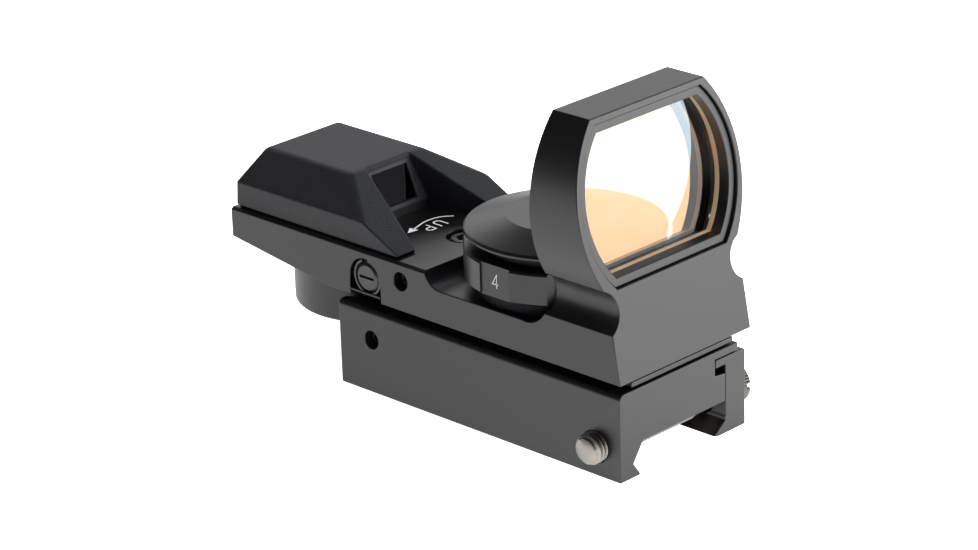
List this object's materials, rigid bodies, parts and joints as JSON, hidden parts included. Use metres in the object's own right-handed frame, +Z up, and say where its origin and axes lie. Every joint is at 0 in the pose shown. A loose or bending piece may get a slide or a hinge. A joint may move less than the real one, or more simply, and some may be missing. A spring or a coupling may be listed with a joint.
{
  "type": "red dot finder",
  "caption": "Rail-mounted open reflex sight: tilted collimating lens in a hood, brightness dial with battery, emitter cover, reticle selector and adjusting screws on a rail clamp.",
  "frame": {"origin": "middle of the clamp's flat seat, on top of the rail, in the sight's centre plane", "axes": "+Y towards the target, +Z up, +X to the side with the windage screw"},
  "size_m": [0.0366, 0.0848, 0.0556],
  "materials": {
    "black_anodised": "satin black anodised",
    "blackened_steel": "black oxide",
    "bare_steel": "turned, nickel plated",
    "spring_steel": "drawn",
    "coated_glass": "polished with a reflective coating",
    "smoked_glass": "polished",
    "black_plastic": "fine moulded texture",
    "rubber": "matte",
    "circuit_board": "lacquered",
    "brass": "bright",
    "red_lamp": "clear tinted",
    "lead_sleeve": "smooth"
  },
  "bodies": {
    "rail_clamp": {"rail_clamp_base": "black_anodised", "tilt_pin": "bare_steel", "hold_down_screw": "bare_steel", "hold_down_spring": "spring_steel"},
    "jaw": {"movable_jaw": "black_anodised"},
    "cross_bolt": {"clamp_bolt": "bare_steel"},
    "clamp_lock": {"base_lock_screw": "blackened_steel"},
    "plate": {"tilt_plate": "black_anodised", "pivot_screw": "bare_steel"},
    "sight": {"main_housing": "black_anodised", "lens": "coated_glass", "lens_retainer": "black_anodised", "windage_bush": "brass", "switch_seat": "black_plastic", "seat_screws": "bare_steel", "switch_board": "circuit_board", "emitter_cover": "black_plastic", "cover_screws": "blackened_steel", "emitter_window": "smoked_glass", "lamp_board": "circuit_board", "lamp": "red_lamp", "lamp_leads": "lead_sleeve"},
    "windage_adjuster": {"windage_screw": "blackened_steel"},
    "windage_pusher": {"windage_plunger": "bare_steel"},
    "elevation_adjuster": {"elevation_screw": "blackened_steel"},
    "elevation_pusher": {"elevation_plunger": "bare_steel"},
    "side_lock": {"side_lock_screw": "blackened_steel"},
    "dial": {"brightness_dial": "black_anodised", "spindle_clip": "spring_steel", "contact_wiper": "brass", "cell_contact": "brass", "coin_cell": "bare_steel"},
    "cap_seal": {"cap_oring": "rubber"},
    "cap": {"battery_cap": "black_anodised", "cap_contact": "spring_steel"},
    "selector": {"selector_knob": "black_anodised", "selector_spindle": "bare_steel", "selector_clip": "spring_steel", "reticle_drum": "brass", "reticle_foils": "spring_steel"}
  },
  "joints": [
    {"name": "jaw_slide", "type": "slide", "parent": "rail_clamp", "child": "jaw", "axis": [-1, 0, 0], "range_m": [0, 0.003]},
    {"name": "bolt_turn", "type": "hinge", "parent": "jaw", "child": "cross_bolt", "pos_m": [0, 0.0249, -0.0007], "axis": [-1, 0, 0], "range_deg": [0, 1350]},
    {"name": "clamp_lock_turn", "type": "hinge", "parent": "rail_clamp", "child": "clamp_lock", "pos_m": [0, -0.0228, 0.0037], "axis": [1, 0, 0], "range_deg": [0, 360]},
    {"name": "elevation_tilt", "type": "hinge", "parent": "rail_clamp", "child": "plate", "pos_m": [0, 0.017, 0.005], "axis": [-1, 0, 0], "range_deg": [-0.3, 1], "deforming": ["hold_down_spring"]},
    {"name": "windage_swing", "type": "hinge", "parent": "plate", "child": "sight", "pos_m": [0, 0.017, 0.005], "axis": [0, 0, 1], "range_deg": [-1, 1]},
    {"name": "elevation_turn", "type": "hinge", "parent": "sight", "child": "elevation_adjuster", "pos_m": [0, -0.016, 0.015], "axis": [0, 0, -1], "range_deg": [-180, 480]},
    {"name": "elevation_push", "type": "slide", "parent": "sight", "child": "elevation_pusher", "axis": [0, 0, -1], "range_m": [-0.0003, 0.0007]},
    {"name": "windage_turn", "type": "hinge", "parent": "sight", "child": "windage_adjuster", "pos_m": [0.012, -0.0234, 0.0141], "axis": [-1, 0, 0], "range_deg": [-560, 560]},
    {"name": "windage_push", "type": "slide", "parent": "sight", "child": "windage_pusher", "axis": [-1, 0, 0], "range_m": [-0.0008, 0.0008]},
    {"name": "side_lock_turn", "type": "hinge", "parent": "sight", "child": "side_lock", "pos_m": [0.01, -0.0157, 0.0155], "axis": [1, 0, 0], "range_deg": [0, 360]},
    {"name": "brightness_turn", "type": "hinge", "parent": "sight", "child": "dial", "pos_m": [0, 0.00516, 0.02], "axis": [0, 0, 1], "range_deg": [-135, 180]},
    {"name": "cap_rise", "type": "slide", "parent": "dial", "child": "cap_seal", "axis": [0, 0, 1], "range_m": [0, 0.002]},
    {"name": "cap_turn", "type": "hinge", "parent": "cap_seal", "child": "cap", "pos_m": [0, 0.00516, 0.02], "axis": [0, 0, 1], "range_deg": [0, 720]},
    {"name": "reticle_turn", "type": "hinge", "parent": "sight", "child": "selector", "pos_m": [0, -0.0365, 0.008], "axis": [0, 0, 1], "range_deg": [0, 270]}
  ],
  "couplings": [
    {"joint": "bolt_turn", "follows": "jaw_slide", "rad_per_m": 7854},
    {"joint": "cap_turn", "follows": "cap_rise", "rad_per_m": 6283.2},
    {"joint": "elevation_push", "follows": "elevation_tilt", "m_per_rad": 0.033},
    {"joint": "elevation_turn", "follows": "elevation_tilt", "ratio": 414.69},
    {"joint": "windage_push", "follows": "windage_swing", "m_per_rad": 0.0404},
    {"joint": "windage_turn", "follows": "windage_swing", "ratio": 507.68}
  ]
}
